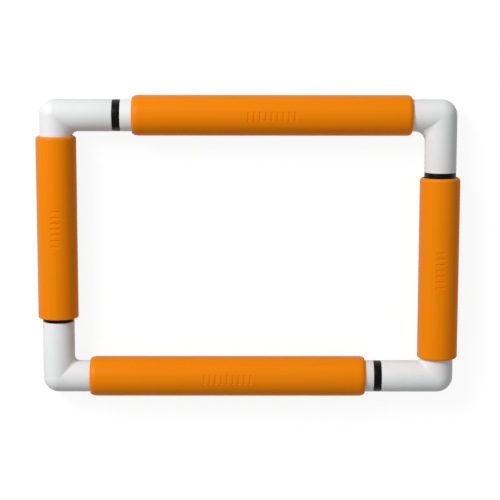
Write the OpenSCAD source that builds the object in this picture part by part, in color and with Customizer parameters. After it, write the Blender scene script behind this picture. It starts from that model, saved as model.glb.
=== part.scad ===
// Rectangular embroidery frame: four corner pieces that plug together through rubber
// rings, and four spring clips that hold the cloth on the tubes. It lies flat, +Z up.

/* [Frame] */
// Width over the tubes
outer_w = 280; // [230:1:420]
// Height over the tubes
outer_h = 200; // [165:1:340]
// Outside diameter of the tubes and elbows
tube_od = 21.5; // [17.5:0.5:26]
// Wall of the tubes
tube_wall = 2.6; // [2:0.1:3.2]

/* [Elbows] */
// Outer corner to the shoulder that carries the rubber ring
long_arm = 49; // [44:1:60]
// Outer corner to the seam with the glued tube, hidden under the clip
short_arm = 36; // [34:1:42]
// Wall of the spigots and of the elbow's inner bore
spigot_wall = 2; // [1.6:0.1:2.4]
// Length of a push spigot past its ring
push_len = 24; // [18:1:30]
// Length of a glued spigot
glue_len = 16; // [10:1:20]
// Lead-in chamfer on the end of each spigot
spigot_chamfer = 1; // [0.4:0.1:1.2]
// Radial clearance of a push spigot in its tube
push_fit = 0.08; // [0.04:0.01:0.1]
// Radial clearance of a glued spigot in its tube
glue_fit = 0.05; // [0.03:0.01:0.08]
// Radius of the inner throat at the top left corner
top_left_throat = 4.6; // [2.5:0.1:9]
// Radius of the inner throat at the top right corner
top_right_throat = 7.5; // [2.5:0.1:9]
// Radius of the inner throat at the bottom right corner
bottom_right_throat = 3.6; // [2.5:0.1:9]
// Radius of the inner throat at the bottom left corner
bottom_left_throat = 4; // [2.5:0.1:9]

/* [Rubber rings] */
// Width of a ring along the tube
ring_w = 5.2; // [4:0.1:7]
// How far a ring lies below the tube's surface
ring_sink = 0.05; // [0:0.01:0.4]
// Rounding of a ring's outer edges
ring_round = 0.7; // [0.3:0.1:1.2]
// Clearance at a ring's bore and sides
ring_gap = 0.05; // [0.02:0.01:0.1]

/* [Clips] */
// Wall of the clips
clip_wall = 2.3; // [1.8:0.1:3]
// Room for the cloth between a clip and its tube
cloth_gap = 0.55; // [0.4:0.05:1.2]
// Opening of the C section, in degrees
slot_angle = 120; // [100:1:150]
// Rounding of the clip's outer end edges
clip_round = 2; // [1:0.1:2.2]
// Length of a long side that its clip leaves bare, corners included
long_side_bare = 92.5; // [86:0.5:120]
// Length of a short side that its clip leaves bare, corners included
short_side_bare = 76.4; // [72:0.2:100]
// Least clearance between a clip's end and the throat beside it
clip_clear = 0.3; // [0.2:0.05:0.35]
// Further bare tube between the left clip and the top left throat
left_clip_slack = 0; // [0:0.1:15]
// Further bare tube between the top clip and the top right throat
top_clip_slack = 3.4; // [0:0.1:15]
// Further bare tube between the right clip and the bottom right throat
right_clip_slack = 0.1; // [0:0.1:15]
// Further bare tube between the bottom clip and the bottom left throat
bottom_clip_slack = 8; // [0:0.1:15]

/* [Hidden] */
$fn = 96;

// Corners are counted clockwise from the top left. Each carries the tube that runs
// anticlockwise from it, so the left tube belongs to corner 0 and the top tube to 1.
TOP_LEFT = 0;
TOP_RIGHT = 1;
BOTTOM_RIGHT = 2;
BOTTOM_LEFT = 3;
throat = [top_left_throat, top_right_throat, bottom_right_throat, bottom_left_throat];
clip_slack = [left_clip_slack, top_clip_slack, right_clip_slack, bottom_clip_slack];

white = [0.93, 0.93, 0.92];
orange = [0.96, 0.55, 0.07];
black = [0.08, 0.08, 0.08];

tube_r = tube_od / 2;
socket_r = tube_r - tube_wall;
push_r = socket_r - push_fit;
glue_r = socket_r - glue_fit;
bore_r = push_r - spigot_wall;
shoulder = long_arm - tube_r;
seam = short_arm - tube_r;
push_end = shoulder + ring_w + 2 * ring_gap + push_len;
glue_end = seam + glue_len;
clip_in_r = tube_r + cloth_gap;
clip_out_r = clip_in_r + clip_wall;
eps = 0.01; // overlap of pieces that are joined
cut = 1; // how far a cut runs past the face that it opens

// Length over the tubes of the side that starts at a corner's short arm
function side(corner) = corner % 2 == 0 ? outer_h : outer_w;
function bare(corner) = corner % 2 == 0 ? short_side_bare : long_side_bare;
function tube_len(corner) = side(corner) - short_arm - long_arm - ring_w - 2 * ring_gap;
function clip_len(corner) = side(corner) - bare(corner);

// Nearest that a clip's end comes to the perpendicular arm while its inner edge still
// clears the hollow round of the throat
function clip_stop(radius) =
    radius - sqrt(pow(radius - clip_clear, 2) - pow(radius - cloth_gap, 2));
function clip_start(corner) = tube_r + clip_stop(throat[corner]) + clip_slack[corner];

// Moves a piece from the corner's own frame to its corner. In its own frame the two
// tube axes cross at the origin, the long arm runs along +X and the short arm along -Y.
module at_corner(corner) {
    right = corner == TOP_RIGHT || corner == BOTTOM_RIGHT;
    top = corner == TOP_LEFT || corner == TOP_RIGHT;
    x = (outer_w / 2 - tube_r) * (right ? 1 : -1);
    y = (outer_h / 2 - tube_r) * (top ? 1 : -1);
    translate([x, y, tube_r])
        rotate([0, 0, -90 * corner])
            children();
}

// Turns a shape that stands along +Z to run along the long arm or the short arm
module along_long_arm(start) {
    translate([start, 0, 0])
        rotate([0, 90, 0])
            children();
}

module along_short_arm(start) {
    translate([0, -start, 0])
        rotate([90, 0, 0])
            children();
}

// Round plug with a chamfered nose
module spigot(r, len) {
    cylinder(r = r, h = len - spigot_chamfer);
    translate([0, 0, len - spigot_chamfer])
        cylinder(r1 = r, r2 = r - spigot_chamfer, h = spigot_chamfer);
}

// Quarter bend that rounds the inner throat, tangent to both arms
module throat_bend(radius) {
    reach = tube_r + radius;
    translate([reach, -reach, 0])
        rotate([0, 0, 90])
            rotate_extrude(angle = 90)
                translate([reach, 0])
                    circle(r = tube_r);
}

module elbow_outside(corner) {
    sphere(r = tube_r);
    along_long_arm(0)
        cylinder(r = tube_r, h = shoulder);
    along_short_arm(0)
        cylinder(r = tube_r, h = seam);
    along_long_arm(shoulder - eps)
        spigot(push_r, push_end - shoulder + eps);
    along_short_arm(seam - eps)
        spigot(glue_r, glue_end - seam + eps);
    throat_bend(throat[corner]);
}

module elbow_bore() {
    sphere(r = bore_r);
    along_long_arm(0)
        cylinder(r = bore_r, h = push_end + cut);
    along_short_arm(0)
        cylinder(r = bore_r, h = glue_end + cut);
}

module elbow(corner) {
    color(white)
        at_corner(corner)
            difference() {
                elbow_outside(corner);
                elbow_bore();
            }
}

module tube(corner) {
    color(white)
        at_corner(corner)
            along_short_arm(seam)
                difference() {
                    cylinder(r = tube_r, h = tube_len(corner));
                    translate([0, 0, -cut])
                        cylinder(r = socket_r, h = tube_len(corner) + 2 * cut);
                }
}

// Wall section with its two outer corners rounded, standing along +Y from the X axis
module round_section(r_in, r_out, len, rounding) {
    difference() {
        translate([r_in, 0])
            square([r_out - r_in, len]);
        for (end = [0, 1])
            translate([r_out - rounding, end * (len - 2 * rounding) + rounding])
                mirror([0, 1 - end])
                    difference() {
                        square(rounding + eps);
                        circle(r = rounding);
                    }
    }
}

module ring(corner) {
    color(black)
        at_corner(corner)
            along_long_arm(shoulder + ring_gap)
                rotate_extrude()
                    round_section(push_r + ring_gap, tube_r - ring_sink, ring_w, ring_round);
}

// C-shaped clip with round lips, its slot facing straight down
module clip(corner) {
    len = clip_len(corner);
    lip_r = clip_wall / 2;
    wrap = 360 - slot_angle;
    color(orange)
        at_corner(corner)
            along_short_arm(clip_start(corner)) {
                rotate([0, 0, 90 - wrap / 2])
                    rotate_extrude(angle = wrap)
                        round_section(clip_in_r, clip_out_r, len, clip_round);
                for (lip = [-1, 1])
                    rotate([0, 0, 90 + lip * wrap / 2])
                        translate([clip_in_r + lip_r, 0, clip_round])
                            cylinder(r = lip_r, h = len - 2 * clip_round);
            }
}

elbow(TOP_LEFT);  // top_left_elbow
elbow(TOP_RIGHT);  // top_right_elbow
elbow(BOTTOM_RIGHT);  // bottom_right_elbow
elbow(BOTTOM_LEFT);  // bottom_left_elbow
tube(TOP_LEFT);  // left_tube
tube(TOP_RIGHT);  // top_tube
tube(BOTTOM_RIGHT);  // right_tube
tube(BOTTOM_LEFT);  // bottom_tube
ring(TOP_LEFT);  // top_left_ring
ring(TOP_RIGHT);  // top_right_ring
ring(BOTTOM_RIGHT);  // bottom_right_ring
ring(BOTTOM_LEFT);  // bottom_left_ring
clip(TOP_LEFT);  // left_clip
clip(TOP_RIGHT);  // top_clip
clip(BOTTOM_RIGHT);  // right_clip
clip(BOTTOM_LEFT);  // bottom_clip
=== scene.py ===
import math

import bmesh
import bpy
from mathutils import Matrix, Vector


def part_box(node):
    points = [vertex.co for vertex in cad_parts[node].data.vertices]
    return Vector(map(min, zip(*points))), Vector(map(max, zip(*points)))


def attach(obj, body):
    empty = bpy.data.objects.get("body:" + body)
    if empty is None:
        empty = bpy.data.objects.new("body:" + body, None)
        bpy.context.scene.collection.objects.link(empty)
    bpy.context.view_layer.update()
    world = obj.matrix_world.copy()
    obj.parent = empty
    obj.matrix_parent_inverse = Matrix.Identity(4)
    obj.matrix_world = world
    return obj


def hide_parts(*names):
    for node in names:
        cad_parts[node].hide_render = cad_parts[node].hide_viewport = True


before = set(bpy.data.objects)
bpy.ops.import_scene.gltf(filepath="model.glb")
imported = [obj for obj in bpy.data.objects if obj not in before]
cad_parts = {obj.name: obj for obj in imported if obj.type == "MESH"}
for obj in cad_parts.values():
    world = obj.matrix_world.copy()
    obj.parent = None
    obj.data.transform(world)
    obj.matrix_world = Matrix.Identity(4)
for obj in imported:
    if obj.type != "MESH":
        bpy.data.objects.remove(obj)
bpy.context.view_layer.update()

# Millimetres, which the sizes below are given in
MM = 0.001

# Points round every tube, ball and bore
ROUND = 96
# Segments of the small roundings
PARTING_SEGMENTS = 2
TUBE_BREAK_SEGMENTS = 3
SHOULDER_SEGMENTS = 4
CLIP_INNER_SEGMENTS = 4
RING_SEGMENTS = 5
CREASE_SEGMENTS = 8
CLIP_END_SEGMENTS = 10
# A distance under which two points are the same place
TINY = 0.002 * MM
# How far the middle of a facet may lie inside its circle
FACET_SAG = 0.02 * MM
# Edges that turn by less than this are shaded smooth
SMOOTH_UNDER = math.radians(40)
CLIP_SMOOTH_UNDER = math.radians(28)

# Sizes that the nodes' boxes don't give
TUBE_WALL = 2.6 * MM
SPIGOT_WALL = 2 * MM
SPIGOT_CHAMFER = 1 * MM
PUSH_FIT = 0.08 * MM
GLUE_FIT = 0.05 * MM
RING_GAP = 0.05 * MM
CLIP_WALL = 2.3 * MM
CLIP_WRAP = math.radians(240)

# Small breaks and rounds that moulding and sawing leave
SHOULDER_ROUND = 0.4 * MM
TUBE_BREAK = 0.35 * MM
RING_ROUND = 0.7 * MM
CLIP_INNER_ROUND = 0.3 * MM
PARTING_W = 0.2 * MM
PARTING_H = 0.06 * MM

# Steps of a clip round its tube
CLIP_STEPS = 90
# Steps of a clip's round lip, and how far round it they go before the last small flat
LIP_STEPS = 7
LIP_SPAN = math.radians(86)
# Rounding of each clip's outer end edges: how deep, and how far along the clip, first at the corner that
# it starts from, then at its far end
CLIP_END_ROUNDS = {
    "left": ((1.6 * MM, 2.4 * MM), (0.8 * MM, 0.8 * MM)),
    "top": ((2 * MM, 3.2 * MM), (2 * MM, 5 * MM)),
    "right": ((1.2 * MM, 1.4 * MM), (1.8 * MM, 2.4 * MM)),
    "bottom": ((2 * MM, 5 * MM), (2 * MM, 4.2 * MM)),
}

# Plain grip grooves across the middle of each clip's back
GROOVE_W = 1.7 * MM
GROOVE_PITCH = 3.9 * MM
GROOVE_DEPTH = 0.3 * MM
GROOVE_DRAFT = 0.25 * MM
GROOVE_REACH = math.radians(15)
GROOVE_COUNT = {"left": 7, "top": 9, "right": 7, "bottom": 9}

# The crease between an elbow's arms: sharp on top, and rounded to the throat inside
CREASE_ROUND = 0.5 * MM
THROAT = {
    "top_left": 4.6 * MM,
    "top_right": 7.5 * MM,
    "bottom_right": 3.6 * MM,
    "bottom_left": 4 * MM,
}
# Share of the way from the tube's top to the throat where the round starts to widen
THROAT_STARTS = 0.5
# Distance from the crease's ends within which its round becomes one point
CREASE_TIP = 0.05 * MM

# Clockwise, each with the side whose tube is glued to it
CORNERS = {"top_left": "left", "top_right": "top", "bottom_right": "right", "bottom_left": "bottom"}

TUBE_LO, TUBE_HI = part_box("top_tube")
TUBE_R = (TUBE_HI.z - TUBE_LO.z) / 2
SOCKET_R = TUBE_R - TUBE_WALL
PUSH_R = SOCKET_R - PUSH_FIT
GLUE_R = SOCKET_R - GLUE_FIT
BORE_R = PUSH_R - SPIGOT_WALL


def place_of(corner):
    """Matrix that puts a piece at its corner, from its own frame, where the two tube axes cross at
    the origin, the long arm runs along +X and the short arm along -Y."""
    lo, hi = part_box(f"{corner}_elbow")
    x = lo.x + TUBE_R if "left" in corner else hi.x - TUBE_R
    y = hi.y - TUBE_R if "top" in corner else lo.y + TUBE_R
    quarter_turns = list(CORNERS).index(corner)
    return Matrix.Translation((x, y, lo.z + TUBE_R)) @ Matrix.Rotation(-math.pi / 2 * quarter_turns, 4, "Z")


def own_box(node, corner):
    """A node's lowest and highest corners in its corner's own frame."""
    back = place_of(corner).inverted()
    ends = [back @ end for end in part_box(node)]
    return Vector(map(min, *ends)), Vector(map(max, *ends))


def lengthwise(corner):
    """The axis that a corner's glued tube and its clip run along."""
    return "Y" if CORNERS[corner] in ("left", "right") else "X"


# Modelling helpers


def nothing_selected():
    """Back to object mode, with nothing selected."""
    if bpy.context.object and bpy.context.object.mode != "OBJECT":
        bpy.ops.object.mode_set(mode="OBJECT")
    bpy.ops.object.select_all(action="DESELECT")


def only(piece):
    """Makes a piece the only one that is selected, and active."""
    nothing_selected()
    piece.select_set(True)
    bpy.context.view_layer.objects.active = piece


def settle(piece):
    """Keeps a piece's place, turn and scale in its mesh."""
    only(piece)
    bpy.ops.object.transform_apply(location=True, rotation=True, scale=True)


def edit(piece):
    """Opens a piece in edit mode with nothing selected."""
    only(piece)
    bpy.ops.object.mode_set(mode="EDIT")
    bpy.ops.mesh.select_all(action="DESELECT")


def pick(piece, kind, test):
    """Selects just the VERT, EDGE or FACE elements with all their points, and a face's middle, where
    the test is true."""
    bpy.ops.mesh.select_mode(type=kind)
    bpy.ops.mesh.select_all(action="DESELECT")
    mesh = bmesh.from_edit_mesh(piece.data)
    elements = {"VERT": mesh.verts, "EDGE": mesh.edges, "FACE": mesh.faces}[kind]
    for element in elements:
        points = [element.co] if kind == "VERT" else [point.co for point in element.verts]
        if kind == "FACE":
            points.append(element.calc_center_median())
        element.select_set(all(map(test, points)))
    bmesh.update_edit_mesh(piece.data)


def circle(name, radius, at=(0, 0, 0), axis="X"):
    """An open ring of points, square to an axis."""
    turn = {"X": (0, math.pi / 2, 0), "Y": (math.pi / 2, 0, 0)}[axis]
    nothing_selected()
    bpy.ops.mesh.primitive_circle_add(vertices=ROUND, radius=radius, location=at, rotation=turn)
    piece = bpy.context.object
    piece.name = name
    settle(piece)
    return piece


def pull(move):
    """Extrudes the selected edges along a vector."""
    bpy.ops.mesh.extrude_edges_move(TRANSFORM_OT_translate={"value": move})


def pull_all(move):
    """Extrudes every edge of the piece in edit mode along a vector."""
    bpy.ops.mesh.select_mode(type="EDGE")
    bpy.ops.mesh.select_all(action="SELECT")
    pull(move)


def join(pieces):
    """Joins pieces into the first and welds the points that meet."""
    only(pieces[0])
    for piece in pieces:
        piece.select_set(True)
    bpy.ops.object.join()
    edit(pieces[0])
    bpy.ops.mesh.select_all(action="SELECT")
    bpy.ops.mesh.remove_doubles(threshold=TINY)
    bpy.ops.object.mode_set(mode="OBJECT")


def face_outwards(piece):
    """Turns all the faces of a closed piece outwards."""
    edit(piece)
    bpy.ops.mesh.select_all(action="SELECT")
    bpy.ops.mesh.normals_make_consistent(inside=False)
    bpy.ops.object.mode_set(mode="OBJECT")


def apply(piece, kind, **settings):
    """Adds a modifier with its settings and applies it."""
    only(piece)
    modifier = piece.modifiers.new(kind.title(), kind)
    for key, value in settings.items():
        setattr(modifier, key, value)
    bpy.ops.object.modifier_apply(modifier=modifier.name)


def weigh(piece, weight_of):
    """Gives each edge the bevel weight that a function of its two ends returns."""
    layer = piece.data.attributes.new("bevel_weight_edge", "FLOAT", "EDGE")
    points = piece.data.vertices
    for edge in piece.data.edges:
        a, b = (points[i].co for i in edge.vertices)
        layer.data[edge.index].value = weight_of(a, b)


def finish(piece, corner, body, node, material, smooth_under=SMOOTH_UNDER):
    """Shades a piece, puts it in its place, gives it its material, ties it to its body and hides the node
    that it stands in for.
    """
    only(piece)
    bpy.ops.object.shade_smooth_by_angle(angle=smooth_under)
    piece.matrix_world = place_of(corner)
    settle(piece)
    piece.data.materials.append(material)
    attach(piece, body)
    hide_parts(node)


# Pieces


def bent_pipe(name, radius, long_end, short_end):
    """A round pipe bent square. Its outer half turns on a ball, and its inner halves meet in a mitre."""
    outer = circle(name, radius)
    edit(outer)
    pick(outer, "VERT", lambda p: p.y < -TINY)
    bpy.ops.mesh.delete(type="VERT")
    pull_all((long_end, 0, 0))
    pick(outer, "EDGE", lambda p: p.x < TINY)
    bpy.ops.mesh.spin(steps=ROUND // 4, angle=math.pi / 2, center=(0, 0, 0), axis=(0, 0, -1))
    pick(outer, "EDGE", lambda p: p.x < TINY and abs(p.y) < TINY)
    pull((0, -short_end, 0))

    long_half = circle(f"{name}_long", radius)
    edit(long_half)
    pick(long_half, "VERT", lambda p: p.y > TINY)
    bpy.ops.mesh.delete(type="VERT")
    pull_all((long_end, 0, 0))
    bpy.ops.mesh.select_all(action="SELECT")
    bpy.ops.mesh.bisect(plane_co=(0, 0, 0), plane_no=(1, 1, 0), clear_inner=True)

    short_half = circle(f"{name}_short", radius, axis="Y")
    edit(short_half)
    pick(short_half, "VERT", lambda p: p.x < -TINY)
    bpy.ops.mesh.delete(type="VERT")
    pull_all((0, -short_end, 0))
    bpy.ops.mesh.select_all(action="SELECT")
    bpy.ops.mesh.bisect(plane_co=(0, 0, 0), plane_no=(1, 1, 0), clear_outer=True)

    join([outer, long_half, short_half])
    face_outwards(outer)
    return outer


def round_crease(piece, throat):
    """Rounds the mitre of an elbow: hardly at the tube's top, and as wide as the throat inside."""

    def weight(a, b):
        if abs(a.x + a.y) > TINY or abs(b.x + b.y) > TINY:
            return 0
        across = min((a.x + b.x) / 2 / TUBE_R, 1)
        if across < TINY / TUBE_R:
            return 0
        widening = max(0, (across - THROAT_STARTS) / (1 - THROAT_STARTS))
        radius = CREASE_ROUND + (throat - CREASE_ROUND) * widening
        # The two halves' faces turn by this angle here, and a bevel's offset is its radius times the
        # tangent of half of it
        between_normals = math.acos(1 - across * across)
        return radius / throat * math.tan(between_normals / 2)

    weigh(piece, weight)
    apply(piece, "BEVEL", limit_method="WEIGHT", offset_type="OFFSET", width=throat,
          segments=CREASE_SEGMENTS, use_clamp_overlap=False, loop_slide=True)
    piece.data.attributes.remove(piece.data.attributes["bevel_weight_edge"])
    # Each end of the crease is drawn to one point
    edit(piece)
    for tip in (Vector((0, 0, TUBE_R)), Vector((0, 0, -TUBE_R))):
        pick(piece, "VERT", lambda p: (p - tip).length < CREASE_TIP)
        bpy.ops.mesh.merge(type="CENTER")
    bpy.ops.object.mode_set(mode="OBJECT")


def raise_parting_line(piece):
    """Raises the fine line round an elbow where the two halves of its mould met."""
    edit(piece)
    pick(piece, "EDGE", lambda p: abs(p.z) < TINY)
    bpy.ops.mesh.bevel(offset=PARTING_W, segments=PARTING_SEGMENTS, affect="EDGES")
    pick(piece, "VERT", lambda p: abs(p.z) < TINY)
    bpy.ops.transform.shrink_fatten(value=PARTING_H)
    bpy.ops.object.mode_set(mode="OBJECT")


def spigot(piece, at, axis, radius, length):
    """Draws a flat shoulder and a chamfered spigot out of the open end of an arm."""
    steps = [
        (radius / TUBE_R, 0),
        (1, length - SPIGOT_CHAMFER),
        (1 - SPIGOT_CHAMFER / radius, SPIGOT_CHAMFER),
    ]
    pick(piece, "EDGE", lambda p: abs((p - at).dot(axis)) < TINY)
    place = at.copy()
    for share, move in steps:
        place = place + axis * move
        pull(axis * move)
        across = Vector(1 if axis[i] else share for i in range(3))
        bpy.ops.transform.resize(value=across, center_override=place)


def elbow(corner):
    """One L-shaped elbow with its push spigot and its glued spigot, hollow right through."""
    node = f"{corner}_elbow"
    side = CORNERS[corner]
    lo, hi = own_box(node, corner)
    shoulder = own_box(f"{corner}_ring", corner)[0].x - RING_GAP
    seam = -own_box(f"{side}_tube", corner)[1].y
    long_axis, short_axis = Vector((1, 0, 0)), Vector((0, -1, 0))
    body = bent_pipe(f"{corner}_elbow_moulding", TUBE_R, shoulder, seam)
    round_crease(body, THROAT[corner])
    raise_parting_line(body)
    edit(body)
    spigot(body, long_axis * shoulder, long_axis, PUSH_R, hi.x - shoulder)
    spigot(body, short_axis * seam, short_axis, GLUE_R, -lo.y - seam)
    bore = bent_pipe(f"{corner}_bore", BORE_R, hi.x, -lo.y)
    # A bore that faces its axis is bridged straight across, point to point
    edit(bore)
    bpy.ops.mesh.select_all(action="SELECT")
    bpy.ops.mesh.flip_normals()
    join([body, bore])
    edit(body)
    pick(body, "EDGE", lambda p: abs(p.x - hi.x) < TINY)
    bpy.ops.mesh.bridge_edge_loops()
    pick(body, "EDGE", lambda p: abs(p.y - lo.y) < TINY)
    bpy.ops.mesh.bridge_edge_loops()
    bpy.ops.object.mode_set(mode="OBJECT")
    face_outwards(body)

    def shoulder_edge(a, b):
        on_rim = all(abs(math.hypot(p.y, p.z) - TUBE_R) < TINY and abs(p.x - shoulder) < TINY for p in (a, b))
        return 1 if on_rim else 0

    weigh(body, shoulder_edge)
    apply(body, "BEVEL", limit_method="WEIGHT", width=SHOULDER_ROUND, segments=SHOULDER_SEGMENTS)
    finish(body, corner, f"{corner}_corner", node, WHITE_MOULDED)


def tube(corner):
    """One length of tube, sawn square, with its edges broken."""
    side = CORNERS[corner]
    lo, hi = own_box(f"{side}_tube", corner)
    piece = circle(f"{side}_tube_length", TUBE_R, at=(0, hi.y, 0), axis="Y")
    edit(piece)
    pull_all((0, lo.y - hi.y, 0))
    bpy.ops.object.mode_set(mode="OBJECT")
    face_outwards(piece)
    apply(piece, "SOLIDIFY", thickness=TUBE_WALL, offset=-1, use_even_offset=True)
    apply(piece, "BEVEL", limit_method="ANGLE", angle_limit=SMOOTH_UNDER, width=TUBE_BREAK,
          segments=TUBE_BREAK_SEGMENTS)
    material = WHITE_EXTRUDED[lengthwise(corner)]
    finish(piece, corner, f"{corner}_corner", f"{side}_tube", material)


def ring(corner):
    """One rubber ring, a flat band with rounded outer edges."""
    lo, hi = own_box(f"{corner}_ring", corner)
    piece = circle(f"{corner}_rubber_ring", hi.z, at=(lo.x, 0, 0))
    edit(piece)
    pull_all((hi.x - lo.x, 0, 0))
    bpy.ops.object.mode_set(mode="OBJECT")
    face_outwards(piece)
    apply(piece, "SOLIDIFY", thickness=hi.z - PUSH_R - RING_GAP, offset=-1, use_even_offset=True)

    def outer_edge(a, b):
        on_rim = all(math.hypot(p.y, p.z) > hi.z - TINY for p in (a, b))
        return 1 if on_rim and abs(a.x - b.x) < TINY else 0

    weigh(piece, outer_edge)
    apply(piece, "BEVEL", limit_method="WEIGHT", width=RING_ROUND, segments=RING_SEGMENTS)
    finish(piece, corner, f"{corner}_corner", f"{corner}_ring", BLACK_RUBBER)


def turn_round_tube(piece, angle):
    """Turns a piece round the axis of the short arm."""
    nothing_selected()
    piece.rotation_euler = (0, angle, 0)
    settle(piece)


def draw_lip(piece, middle, length, way):
    """Draws the section that stands at the crown out to a round lip, towards -X or +X."""
    edit(piece)
    pick(piece, "FACE", lambda p: abs(p.x) < TINY and p.z > 0)
    radius = CLIP_WALL / 2
    # The lip's reach, its share of the wall's thickness and its length along the tube, so far
    reach, share, span = 0, 1, length
    for step in range(1, LIP_STEPS + 1):
        angle = LIP_SPAN * step / LIP_STEPS
        next_reach = radius * math.sin(angle)
        next_share = math.cos(angle)
        next_span = length - 2 * radius * (1 - next_share)
        move = (way * (next_reach - reach), 0, 0)
        bpy.ops.mesh.extrude_region_move(TRANSFORM_OT_translate={"value": move})
        shrink = (1, next_span / span, next_share / share)
        bpy.ops.transform.resize(value=shrink, center_override=middle)
        reach, share, span = next_reach, next_share, next_span


def press_grooves(piece, count, middle, radius):
    """Presses a row of plain grooves with drafted sides in a clip's back, each running round it."""
    starts = [middle + (i - (count - 1) / 2) * GROOVE_PITCH - GROOVE_W / 2 for i in range(count)]
    for start in starts:
        for y in (start, start + GROOVE_W):
            bpy.ops.mesh.select_mode(type="FACE")
            bpy.ops.mesh.select_all(action="SELECT")
            bpy.ops.mesh.bisect(plane_co=(0, y, 0), plane_no=(0, 1, 0))

    def in_a_groove(p):
        on_back = math.hypot(p.x, p.z) > radius - FACET_SAG
        in_row = any(start - TINY < p.y < start + GROOVE_W + TINY for start in starts)
        return on_back and in_row and abs(math.atan2(p.x, p.z)) < GROOVE_REACH

    pick(piece, "FACE", in_a_groove)
    bpy.ops.mesh.inset(thickness=GROOVE_DRAFT, depth=-GROOVE_DEPTH)


def clip(corner):
    """One C-shaped clip with round lips, rounded ends and grip grooves. Its section is drawn at the crown,
    gets the first lip there, is spun from one lip to the other and gets the second lip at the crown too."""
    side = CORNERS[corner]
    lo, hi = own_box(f"{side}_clip", corner)
    length = hi.y - lo.y
    r_out = hi.x
    r_in = r_out - CLIP_WALL
    middle = Vector((0, (lo.y + hi.y) / 2, (r_in + r_out) / 2))
    nothing_selected()
    bpy.ops.mesh.primitive_plane_add(size=1, location=middle, rotation=(0, math.pi / 2, 0))
    piece = bpy.context.object
    piece.name = f"{side}_clip_moulding"
    piece.scale = (CLIP_WALL, length, 1)
    settle(piece)
    edit(piece)
    for end, (depth, reach) in zip((hi.y, lo.y), CLIP_END_ROUNDS[side]):
        pick(piece, "VERT", lambda p: p.z > r_out - TINY and abs(p.y - end) < TINY)
        bpy.ops.mesh.bevel(offset=depth, segments=CLIP_END_SEGMENTS, affect="VERTICES")
        pick(piece, "VERT", lambda p: abs(p.y - end) < depth + TINY)
        bpy.ops.transform.resize(value=(1, reach / depth, 1), center_override=(0, end, 0))
    pick(piece, "VERT", lambda p: p.z < r_in + TINY)
    bpy.ops.mesh.bevel(offset=CLIP_INNER_ROUND, segments=CLIP_INNER_SEGMENTS, affect="VERTICES")
    draw_lip(piece, middle, length, way=-1)
    turn_round_tube(piece, -CLIP_WRAP / 2)
    edit(piece)
    pick(piece, "FACE", lambda p: abs(math.atan2(p.x, p.z) + CLIP_WRAP / 2) < TINY / r_in)
    bpy.ops.mesh.spin(steps=CLIP_STEPS, angle=CLIP_WRAP, center=(0, 0, 0), axis=(0, -1, 0))
    turn_round_tube(piece, -CLIP_WRAP / 2)
    draw_lip(piece, middle, length, way=1)
    turn_round_tube(piece, CLIP_WRAP / 2)
    face_outwards(piece)
    edit(piece)
    press_grooves(piece, GROOVE_COUNT[side], middle.y, r_out)
    bpy.ops.object.mode_set(mode="OBJECT")
    material = ORANGE_MOULDED[lengthwise(corner)]
    finish(piece, corner, f"{side}_clamp", f"{side}_clip", material, CLIP_SMOOTH_UNDER)


# Materials

# Typical of ABS, PVC and nitrile rubber alike
PLASTIC_IOR = 1.53
# How far the roughness drifts either way, and the detail of the two noises
ROUGHNESS_DRIFT = 0.06
DRIFT_DETAIL = 4
GRAIN_DETAIL = 2
# The two close tones of the white plastics
WHITE_TONES = {"pale": "#F2F3F3", "deep": "#EAEBEB"}


def colour(code):
    """Linear colour of an sRGB hex value."""
    parts = [int(code[i:i + 2], 16) / 255 for i in (1, 3, 5)]
    return [p / 12.92 if p <= 0.04045 else ((p + 0.055) / 1.055) ** 2.4 for p in parts] + [1]


def add(tree, kind, links=None, **settings):
    """Adds a node, with its settings and, by socket name, the values or sockets that feed it."""
    node = tree.nodes.new(kind)
    for key, value in settings.items():
        setattr(node, key, value)
    for key, value in (links or {}).items():
        if isinstance(value, bpy.types.NodeSocket):
            tree.links.new(value, node.inputs[key])
        else:
            node.inputs[key].default_value = value
    return node


def plastic(name, pale, deep, drift_mm, roughness, grain_mm, grain_depth_mm, wave_depth_mm, gloss):
    """Plastic or rubber: two close colours and a roughness that drift over drift_mm, as the melt flowed,
    a shallow unevenness of the same size, and a fine grain. The gloss is the specular level."""
    material = bpy.data.materials.new(name)
    material.use_nodes = True
    tree = material.node_tree
    shader = tree.nodes["Principled BSDF"]
    shader.inputs["IOR"].default_value = PLASTIC_IOR
    shader.inputs["Specular IOR Level"].default_value = gloss
    place = add(tree, "ShaderNodeTexCoord").outputs["Object"]
    drift_scale = [1 / (size * MM) for size in drift_mm]
    drifted = add(tree, "ShaderNodeMapping", {"Vector": place, "Scale": drift_scale})
    drift = add(tree, "ShaderNodeTexNoise", {"Vector": drifted.outputs[0], "Scale": 1,
                                            "Detail": DRIFT_DETAIL})
    # A colour Mix node takes its factor at 0 and its colours at 6 and 7, and gives the mix at 2
    tint = add(tree, "ShaderNodeMix", {0: drift.outputs[0], 6: colour(deep), 7: colour(pale)},
               data_type="RGBA")
    tree.links.new(tint.outputs[2], shader.inputs["Base Color"])
    sheen = add(tree, "ShaderNodeMapRange", {"Value": drift.outputs[0], "To Min": roughness - ROUGHNESS_DRIFT,
                                            "To Max": roughness + ROUGHNESS_DRIFT})
    tree.links.new(sheen.outputs[0], shader.inputs["Roughness"])
    wave = add(tree, "ShaderNodeBump", {"Height": drift.outputs[0], "Distance": wave_depth_mm * MM})
    grains = add(tree, "ShaderNodeTexNoise", {"Vector": place, "Scale": 1 / (grain_mm * MM),
                                             "Detail": GRAIN_DETAIL})
    grain = add(tree, "ShaderNodeBump", {"Height": grains.outputs[0], "Distance": grain_depth_mm * MM,
                                        "Normal": wave.outputs[0]})
    tree.links.new(grain.outputs[0], shader.inputs["Normal"])
    return material


def along(axis, length_mm, width_mm):
    """Size of a pattern that is drawn out along one axis."""
    return [length_mm if axis == other else width_mm for other in "XYZ"]


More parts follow.
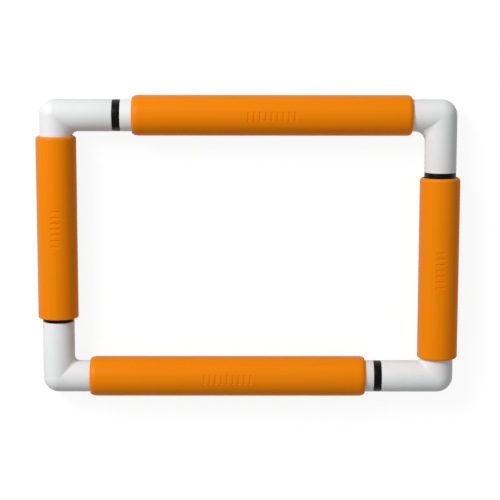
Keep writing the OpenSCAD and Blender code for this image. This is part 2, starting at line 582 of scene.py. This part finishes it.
# The grain of each material is really about 0.1 mm and too fine for the render, so it is drawn as coarse
# as it needs to show.

# Moulded ABS: clean white, satin, a hardly visible swirl of flow and a fine sparked grain
WHITE_MOULDED = plastic("moulded_white_abs", **WHITE_TONES, drift_mm=(9, 9, 9), roughness=0.46,
                        grain_mm=1.3, grain_depth_mm=0.06, wave_depth_mm=0.08, gloss=0.2)
# Extruded PVC: the same white with faint die lines along the tube
WHITE_EXTRUDED = {
    axis: plastic(f"extruded_white_pvc_{axis.lower()}", **WHITE_TONES,
                  drift_mm=along(axis, length_mm=90, width_mm=1.3), roughness=0.42,
                  grain_mm=1.3, grain_depth_mm=0.03, wave_depth_mm=0.04, gloss=0.2)
    for axis in "XY"
}
# Moulded ABS in orange: deep and even, satin, with faint flow lines along the clip
ORANGE_MOULDED = {
    axis: plastic(f"moulded_orange_abs_{axis.lower()}", pale="#FB8E01", deep="#F48300",
                  drift_mm=along(axis, length_mm=70, width_mm=1.6), roughness=0.42,
                  grain_mm=1.2, grain_depth_mm=0.05, wave_depth_mm=0.05, gloss=0.08)
    for axis in "XY"
}
# Moulded nitrile rubber: near black, with a dull shine and a coarse skin
BLACK_RUBBER = plastic("moulded_black_rubber", pale="#0D0D0E", deep="#040404", drift_mm=(1.8, 1.8, 1.8),
                       roughness=0.36, grain_mm=0.6, grain_depth_mm=0.02, wave_depth_mm=0.05, gloss=0.16)

for corner in CORNERS:
    elbow(corner)
    tube(corner)
    ring(corner)
    clip(corner)


# Camera: pinhole fitted to the photograph's straight edges, its distance in metres
CAMERA_DISTANCE = 1.1
CAMERA_TARGET = Vector((1.18, -1.97, 10.75)) * MM
CAMERA_YAW = math.radians(-0.21)
CAMERA_PITCH = math.radians(-8.58)
CAMERA_ROLL = math.radians(0.07)
PHOTO_SIDE_PX = 500
FOCAL_PX = 1622
SENSOR_MM = 36

turn = (
    Matrix.Rotation(CAMERA_YAW, 4, "Y")
    @ Matrix.Rotation(CAMERA_PITCH, 4, "X")
    @ Matrix.Rotation(CAMERA_ROLL, 4, "Z")
)
camera_data = bpy.data.cameras.new("camera")
camera_data.sensor_width = SENSOR_MM
camera_data.lens = FOCAL_PX * SENSOR_MM / PHOTO_SIDE_PX
camera = bpy.data.objects.new("camera", camera_data)
bpy.context.scene.collection.objects.link(camera)
back_of_camera = turn @ Vector((0, 0, 1))
camera.matrix_world = Matrix.Translation(CAMERA_TARGET + back_of_camera * CAMERA_DISTANCE) @ turn
bpy.context.scene.camera = camera

# Light: a soft key from the upper left and a plain world that is white to the eye, lengths in metres
KEY_PLACE = Vector((-1.4, 1.4, 1.5))
KEY_SIZE = 0.9
KEY_WATTS = 46
WORLD_STRENGTH = 0.35
WHITE_LIGHT = (1, 1, 1, 1)

key_data = bpy.data.lights.new("key", "AREA")
key_data.shape = "DISK"
key_data.size = KEY_SIZE
key_data.energy = KEY_WATTS
key = bpy.data.objects.new("key", key_data)
key.location = KEY_PLACE
key.rotation_euler = (-KEY_PLACE).to_track_quat("-Z", "Y").to_euler()
bpy.context.scene.collection.objects.link(key)

world = bpy.data.worlds.new("studio")
bpy.context.scene.world = world
world.use_nodes = True
tree = world.node_tree
rays = add(tree, "ShaderNodeLightPath")
seen = add(tree, "ShaderNodeMath", {0: rays.outputs["Is Camera Ray"], 1: rays.outputs["Is Transmission Ray"]},
           operation="MAXIMUM")
strength = add(tree, "ShaderNodeMapRange", {"Value": seen.outputs[0], "To Min": WORLD_STRENGTH, "To Max": 1})
background = tree.nodes["Background"]
background.inputs["Color"].default_value = WHITE_LIGHT
tree.links.new(strength.outputs[0], background.inputs["Strength"])

# Floor: white to the eye with the object's faint shadow, darker to the light that it throws back
FLOOR_SIZE = 12
FLOOR_GLOW = 0.9
FLOOR_LIT = 0.14
FLOOR_BOUNCE = "#8C8C8C"

nothing_selected()
bpy.ops.mesh.primitive_plane_add(size=FLOOR_SIZE, location=(0, 0, 0))
floor = bpy.context.object
floor.name = "floor"
floor_material = bpy.data.materials.new("white_studio_floor")
floor_material.use_nodes = True
tree = floor_material.node_tree
tree.nodes.remove(tree.nodes["Principled BSDF"])
rays = add(tree, "ShaderNodeLightPath")
seen = add(tree, "ShaderNodeMath", {0: rays.outputs["Is Camera Ray"], 1: rays.outputs["Is Glossy Ray"]},
           operation="MAXIMUM")
seen = add(tree, "ShaderNodeMath", {0: seen.outputs[0], 1: rays.outputs["Is Transmission Ray"]},
           operation="MAXIMUM")
glow = add(tree, "ShaderNodeEmission", {"Color": WHITE_LIGHT, "Strength": FLOOR_GLOW})
lit = add(tree, "ShaderNodeBsdfDiffuse", {"Color": (FLOOR_LIT, FLOOR_LIT, FLOOR_LIT, 1)})
shown = add(tree, "ShaderNodeAddShader", {0: glow.outputs[0], 1: lit.outputs[0]})
bounce = add(tree, "ShaderNodeBsdfDiffuse", {"Color": colour(FLOOR_BOUNCE)})
either = add(tree, "ShaderNodeMixShader", {0: seen.outputs[0], 1: bounce.outputs[0], 2: shown.outputs[0]})
tree.links.new(either.outputs[0], tree.nodes["Material Output"].inputs["Surface"])
floor.data.materials.append(floor_material)

bpy.context.scene.view_settings.view_transform = "Standard"
